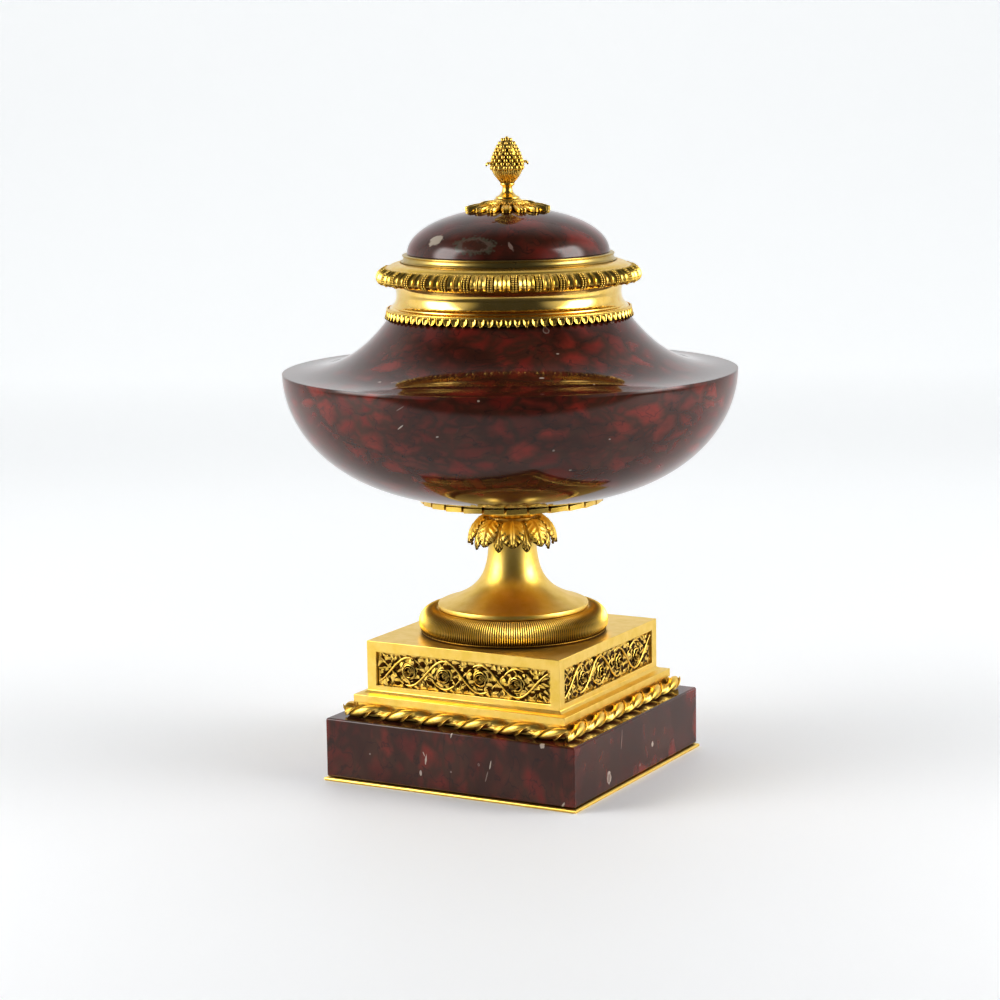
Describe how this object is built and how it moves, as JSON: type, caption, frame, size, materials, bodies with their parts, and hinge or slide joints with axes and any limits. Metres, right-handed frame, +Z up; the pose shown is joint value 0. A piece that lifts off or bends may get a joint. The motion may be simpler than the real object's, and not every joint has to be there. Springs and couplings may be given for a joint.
{
  "type": "footed marble vase",
  "caption": "Footed vase of red-brown marble with gilt bronze mounts on a square pedestal, with a domed lid that lifts off and a berried finial.",
  "frame": {"origin": "centre of the underside of the base plate", "axes": "+Z up along the vase's axis, -Y towards the pedestal's side that the picture shows widest, +X towards the other side that it shows"},
  "size_m": [0.294, 0.294, 0.4113],
  "materials": {
    "red_marble": "polished",
    "gilding": "burnished gilding with darker recesses",
    "satin_gilding": "satin gilding",
    "lid_brass": "polished, slightly greener than the gilding"
  },
  "bodies": {
    "root": {"base_plate": "gilding", "marble_plinth": "red_marble", "socle": "satin_gilding", "ribbon_front": "gilding", "ribbon_right": "gilding", "ribbon_back": "gilding", "ribbon_left": "gilding", "rose_panel_front": "gilding", "rose_panel_right": "gilding", "rose_panel_back": "gilding", "rose_panel_left": "gilding", "foot_ring": "gilding", "foot_stem": "satin_gilding", "acanthus_collar": "gilding", "leaf_disc": "gilding", "vase_body": "red_marble", "leaf_border": "gilding", "neck_mount": "gilding", "gadroon_rim": "gilding", "lid_ring": "lid_brass", "lid_dome": "red_marble", "lid_rosette": "gilding", "finial": "gilding"}
  },
  "joints": []
}
